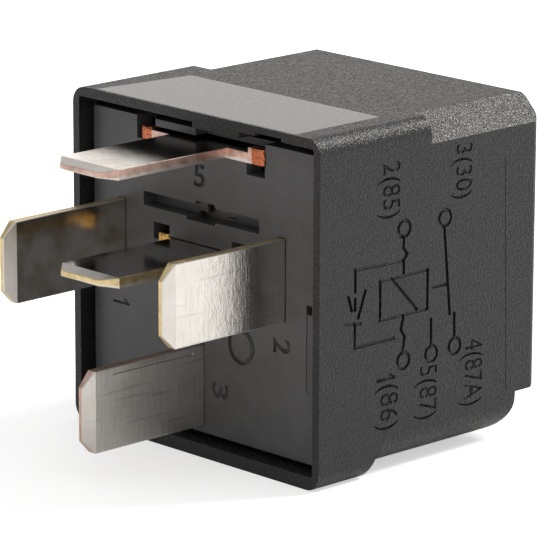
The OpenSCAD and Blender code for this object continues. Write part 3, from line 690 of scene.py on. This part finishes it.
class RELAY_OT_cover(bpy.types.Operator):
    """Build the cover with its engraved circuit and its polished field"""
    bl_idname = "relay.cover"
    bl_label = "Cover"

    def execute(self, context):
        settings = context.scene.relay_cover
        form = node_mesh("cover")
        split_top(form)
        soften_edges(form, settings.edge, segments=3)
        form.normal_update()
        for face in form.faces:
            polished = on_top(face) and in_field(face.calc_center_median())
            face.material_index = POLISHED if polished else GRAIN
        piece = finished_object(form, "cover_shell", [
            eroded_plastic("cover_grain", settings.tone),
            polished_plastic("cover_polished", settings.tone),
        ])
        cut_away(piece, self.circuit(settings))
        stand_for(piece, "cover")
        return {"FINISHED"}

    def circuit(self, settings):
        """Every groove of the circuit as closed shapes half sunk in the side."""
        width, depth = settings.groove, settings.numeral_depth
        form = bmesh.new()
        for path in CIRCUIT_PATHS:
            for (y0, z0), (y1, z1) in zip(path, path[1:]):
                runs_up = abs(z1 - z0) > abs(y1 - y0)
                deep = settings.groove_depth if runs_up else settings.shallow_depth
                add_line(form, SIDE, side_point(y0, z0), side_point(y1, z1), width, deep)
        for centre in CIRCUIT_RINGS:
            add_ring(form, SIDE, side_point(*centre), CIRCUIT_RING_D, width, depth)
        for words, y, z, length, height in CIRCUIT_WORDS:
            add_words(form, SIDE, words, side_point(y, z), length, height, depth)
        y, z, length, height = CIRCUIT_ONE
        add_one(form, SIDE, side_point(y, z), length, height, width, depth)
        seam = [side_point(y, z) for y, z in SEAM]
        add_line(form, SIDE, *seam, width / SEAM_FINER, depth / SEAM_SHALLOWER)
        return form


class RELAY_OT_base(bpy.types.Operator):
    """Build the base plate with its engraved numerals"""
    bl_idname = "relay.base"
    bl_label = "Base plate"

    def execute(self, context):
        settings = context.scene.relay_cover
        form = node_mesh("base")
        soften_edges(form, settings.edge / 2)
        plastic = smooth_plastic("base_plate", settings.base_tone)
        piece = finished_object(form, "base_plate", [plastic])
        numerals = bmesh.new()
        depth = settings.groove_depth
        for words, a, b, width, height in UPRIGHT_NUMERALS:
            add_words(numerals, FRONT, words, (a, b), width, height, depth, BASE_WEIGHT)
        for words, a, b, width, height in TURNED_NUMERALS:
            add_words(
                numerals, FRONT_TURNED, words, (-b, a), width, height, depth, BASE_WEIGHT)
        a, b, width, height = TURNED_ONE
        line = settings.groove * BASE_LINE
        add_one(numerals, FRONT_TURNED, (-b, a), width, height, line, depth)
        add_ring(numerals, FRONT, EJECTOR_MARK, EJECTOR_D, line * EJECTOR_LINE, depth)
        cut_away(piece, numerals)
        stand_for(piece, "base")
        return {"FINISHED"}


def stretch_outside(node):
    """Places of a blade's vertices that stand out of the rim."""
    vertices = frame["nodes"][node].data.vertices
    return [vertex.co for vertex in vertices if vertex.co.y < COVER_LOW.y]


class RELAY_OT_blades(bpy.types.Operator):
    """Build the five blades with plated faces and bare sheared edges"""
    bl_idname = "relay.blades"
    bl_label = "Blade terminals"

    def execute(self, context):
        settings = context.scene.relay_blade
        coined = tin_plating("tin_coined", settings.tin, COINED)
        # Painted shade: the strips deep in the housing get a dull dark metal in place of the
        # shadow in the wells
        painted_shade = plain_metal("inner_strip", settings.dark, 0.5, 0.2 * MM, 0.004 * MM)
        for node in TERMINALS:
            copper = node in COPPER_BLADES
            bare = settings.copper if copper else settings.brass
            end = settings.end_copper if copper else settings.end_brass
            axis = 2 if node in FLAT_BLADES else 0
            side = -1 if node in FLAT_BLADES else 1
            middle = self.middle(node, axis)
            self.blade(node, settings, axis, [
                tin_plating("tin_" + node, settings.tin, FINISHES[node]),
                sheared_edge("edge_" + node, bare, settings.tin, axis, middle, side),
                plain_metal("end_" + node, end, 0.16, 0.35 * MM, 0.18 * MM),
                painted_shade,
                coined,
            ])
        return {"FINISHED"}

    def middle(self, node, axis):
        """Place of a blade's middle plane, from the stretch that stands out of the rim."""
        out = [co[axis] for co in stretch_outside(node)]
        return (min(out) + max(out)) / 2

    def on_end(self, point, reach):
        """True on the staked ends of a cross strip, in front of the base's face."""
        front = COVER_LOW.y + END_START < point.y < BASE_FACE_Y + FRONT_DEPTH
        return front and not reach[0] + END_WIDTH < point.x < reach[1] - END_WIDTH

    def blade(self, node, settings, thin_axis, materials):
        form = node_mesh(node)
        front = [
            vertex.co.x for vertex in form.verts if vertex.co.y < BASE_FACE_Y + FRONT_DEPTH
        ]
        reach = (min(front), max(front))
        has_ends = node in FLAT_BLADES
        ends = [
            edge for edge in form.edges
            if has_ends and all(self.on_end(vertex.co, reach) for vertex in edge.verts)
        ]
        soften_edges(form, settings.edge * END_ROUNDING, segments=3, edges=ends)
        soften_edges(form, settings.edge)
        if has_ends:
            for place in (reach[0] + END_WIDTH, reach[1] - END_WIDTH):
                self.split_front(form, place)
        form.normal_update()
        for face in form.faces:
            middle = face.calc_center_median()
            across = abs(face.normal[thin_axis])
            # Faces deep behind the base's face get the painted shade
            if middle.y > BASE_FACE_Y + SHADE_DEPTH:
                face.material_index = SHADED_INNER
            elif has_ends and self.on_end(middle, reach):
                face.material_index = END
            elif across > PLATED_SHARE:
                face.material_index = TIN
            else:
                face.material_index = COINED_TIP if across > COINED_SHARE else EDGE
        piece = finished_object(form, node + "_blade", materials, BLADE_SMOOTH_TURN)
        if node == "terminal_30":
            cut_away(piece, self.scribed_line(), BLADE_SMOOTH_TURN)
        # The record has blade 30 as tinned brass, though its edge is copper
        stand_for(piece, node)

    def split_front(self, form, place):
        """Cuts the faces in front of the base's face at one distance across."""
        faces = [
            face for face in form.faces
            if face.calc_center_median().y < BASE_FACE_Y + FRONT_DEPTH
        ]
        bisect(form, faces, (place, 0.0, 0.0), (1.0, 0.0, 0.0))

    def scribed_line(self):
        """A fine line along blade 30, just under the upper edge of its right face."""
        out = stretch_outside("terminal_30")
        tip = (min(co.y for co in out) - COVER_LOW.y) / MM
        level = (max(co.z for co in out) - COVER_LOW.z) / MM - SCRIBED_UNDER_EDGE
        face = Plane(
            (max(co.x for co in out), COVER_LOW.y, COVER_LOW.z), (0.0, 0.0, -1.0),
            (0.0, 1.0, 0.0))
        form = bmesh.new()
        start, end = side_point(tip + SCRIBED_FROM_TIP, level), side_point(0.0, level)
        add_line(form, face, start, end, SCRIBED_WIDTH * MM, SCRIBED_DEPTH * MM)
        return form


class RELAY_OT_magnet(bpy.types.Operator):
    """Finish the yoke, the core, the bobbin and what is wound on it"""
    bl_idname = "relay.magnet"
    bl_label = "Magnet"

    def execute(self, context):
        steel = plain_metal("magnet_steel", (0.56, 0.57, 0.6), 0.34, 0.2 * MM, 0.004 * MM)
        wound = ringed_metal(
            "enamelled_wire", (0.62, 0.26, 0.12), (0.2, 0.06, 0.03), 0.12 * MM, "Y")
        wire = plain_metal("enamelled_lead", (0.6, 0.25, 0.12), 0.3, 0.1 * MM, 0.001 * MM)
        give = {
            "yoke": steel, "core": steel, "armature": steel,
            "bobbin": coloured_plastic("bobbin_plastic", (0.06, 0.24, 0.15), 0.45, 0.8 * MM),
            "coil_winding": wound, "coil_lead_85": wire, "coil_lead_86": wire,
            "coil_tape": coloured_plastic("tape_film", (0.72, 0.5, 0.1), 0.22, 1.5 * MM),
        }
        dress_nodes(give)
        return {"FINISHED"}


class RELAY_OT_switch(bpy.types.Operator):
    """Finish the contacts, the spring, the braid and the diode"""
    bl_idname = "relay.switch"
    bl_label = "Switch and small parts"

    def execute(self, context):
        silver = plain_metal("contact_silver", (0.86, 0.85, 0.82), 0.28, 0.15 * MM, 0.003 * MM)
        lead = plain_metal("lead_wire", (0.75, 0.75, 0.73), 0.3, 0.1 * MM, 0.002 * MM)
        give = {
            "contact_blade": plain_metal(
                "spring_copper", (0.78, 0.45, 0.27), 0.28, 0.3 * MM, 0.003 * MM),
            "blade_rivets": plain_metal(
                "rivet_brass", (0.78, 0.6, 0.32), 0.3, 0.2 * MM, 0.004 * MM),
            "moving_contact": silver, "no_contact": silver, "nc_contact": silver,
            "return_spring": plain_metal(
                "spring_steel", (0.5, 0.51, 0.54), 0.3, 0.1 * MM, 0.002 * MM),
            "braid": ringed_metal(
                "braid_copper", (0.75, 0.42, 0.26), (0.35, 0.15, 0.08), 0.3 * MM, "DIAGONAL"),
            "diode": coloured_plastic("diode_body", (0.02, 0.02, 0.02), 0.3, 0.6 * MM),
            "diode_lead_85": lead, "diode_lead_86": lead,
        }
        dress_nodes(give)
        return {"FINISHED"}


def dress_nodes(give):
    """Puts a material on each CAD node that keeps its own mesh."""
    for node, material in give.items():
        mesh = frame["nodes"][node].data
        mesh.materials.clear()
        mesh.materials.append(material)


def seen_directly(surface, from_camera, in_gloss):
    """One amount for a ray from the camera, another off gloss, nought for light that spreads."""
    path = surface.nodes.new("ShaderNodeLightPath")
    direct = surface.scaled(path.outputs["Is Camera Ray"], from_camera, 0.0)
    return surface.scaled(path.outputs["Is Glossy Ray"], in_gloss, direct)


# Lamps: name, place and width in metres, power in watts and colour
LAMPS = (
    ("overhead", (0.0, -0.1, 0.8), 0.8, 1.3, (1.0, 1.0, 1.0)),
    ("back", (0.15, 0.4, 0.42), 0.2, 3.6, (1.0, 0.98, 0.96)),
    ("backdrop", (-0.58, 0.56, 0.2), 0.24, 0.15, (1.0, 0.95, 0.91)),
)
ROOM_LIGHT = 0.44
FLOOR_HALF_WIDTH = 3.0
# Glow of the floor as the camera sees it, and as it shows in gloss
FLOOR_GLOW = (0.55, 0.1)


class RELAY_OT_stage(bpy.types.Operator):
    """Set the floor, the light and the camera"""
    bl_idname = "relay.stage"
    bl_label = "Stage"

    def execute(self, context):
        settings = context.scene.relay_stage
        self.floor(settings)
        self.world(context.scene)
        for lamp in LAMPS:
            self.lamp(*lamp)
        self.camera(context.scene, settings)
        context.scene.view_settings.view_transform = "Standard"
        return {"FINISHED"}

    def floor(self, settings):
        form = bmesh.new()
        bmesh.ops.create_grid(form, x_segments=1, y_segments=1, size=FLOOR_HALF_WIDTH)
        surface = Surface("pale_floor", settings.floor, roughness=1.0)
        surface.shader.inputs["Specular IOR Level"].default_value = 0.0
        surface.shader.inputs["Emission Color"].default_value = (1.0, 1.0, 1.0, 1.0)
        glow = seen_directly(surface, *FLOOR_GLOW)
        surface.links.new(glow, surface.shader.inputs["Emission Strength"])
        piece = finished_object(form, "floor", [surface.material])

    def world(self, scene):
        world = bpy.data.worlds.new("pale_room")
        scene.world = world
        world.use_nodes = True
        background = world.node_tree.nodes["Background"]
        background.inputs["Color"].default_value = (1.0, 1.0, 1.0, 1.0)
        background.inputs["Strength"].default_value = ROOM_LIGHT

    def lamp(self, name, place, size, power, colour):
        light = bpy.data.lights.new(name, "AREA")
        light.color = colour
        light.size = size
        light.energy = power
        lamp = bpy.data.objects.new(name, light)
        lamp.location = place
        lamp.rotation_euler = (-Vector(place)).to_track_quat("-Z", "Y").to_euler()
        lamp.visible_camera = False
        bpy.context.scene.collection.objects.link(lamp)

    def camera(self, scene, settings):
        az, el, roll = settings.azimuth, settings.elevation, settings.roll
        back = Vector((
            math.sin(az) * math.cos(el), -math.cos(az) * math.cos(el), math.sin(el)))
        right = Vector((math.cos(az), math.sin(az), 0.0))
        up = back.cross(right)
        turned_right = right * math.cos(roll) + up * math.sin(roll)
        turned_up = up * math.cos(roll) - right * math.sin(roll)
        data = bpy.data.cameras.new("camera")
        data.lens = settings.lens
        data.sensor_width = 36.0
        data.clip_start = 0.01
        data.clip_end = 20.0
        camera = bpy.data.objects.new("camera", data)
        turn = Matrix((turned_right, turned_up, back)).transposed().to_4x4()
        place = Vector(settings.aim) + back * settings.distance
        camera.matrix_world = Matrix.Translation(place) @ turn
        scene.collection.objects.link(camera)
        scene.camera = camera


class RELAY_PT_panel(bpy.types.Panel):
    """Sidebar panel with the relay's sizes and its build steps"""
    bl_label = "Relay"
    bl_idname = "RELAY_PT_panel"
    bl_space_type = "VIEW_3D"
    bl_region_type = "UI"
    bl_category = "Relay"

    def draw(self, context):
        for name in ("relay_cover", "relay_blade", "relay_stage"):
            group = getattr(context.scene, name)
            for prop in group.__annotations__:
                self.layout.prop(group, prop)
        for step in STEPS:
            self.layout.operator(step.bl_idname)


STEPS = (
    RELAY_OT_stage, RELAY_OT_cover, RELAY_OT_base, RELAY_OT_blades, RELAY_OT_magnet,
    RELAY_OT_switch,
)
CLASSES = (
    RelayCoverSettings, RelayBladeSettings, RelayStageSettings, *STEPS, RELAY_PT_panel,
)


def register():
    for cls in CLASSES:
        bpy.utils.register_class(cls)
    bpy.types.Scene.relay_cover = PointerProperty(type=RelayCoverSettings)
    bpy.types.Scene.relay_blade = PointerProperty(type=RelayBladeSettings)
    bpy.types.Scene.relay_stage = PointerProperty(type=RelayStageSettings)


def unregister():
    del bpy.types.Scene.relay_cover
    del bpy.types.Scene.relay_blade
    del bpy.types.Scene.relay_stage
    for cls in reversed(CLASSES):
        bpy.utils.unregister_class(cls)


def main():
    register()
    bpy.ops.relay.stage()
    bpy.ops.relay.cover()
    bpy.ops.relay.base()
    bpy.ops.relay.blades()
    bpy.ops.relay.magnet()
    bpy.ops.relay.switch()


if __name__ == "__main__":
    main()
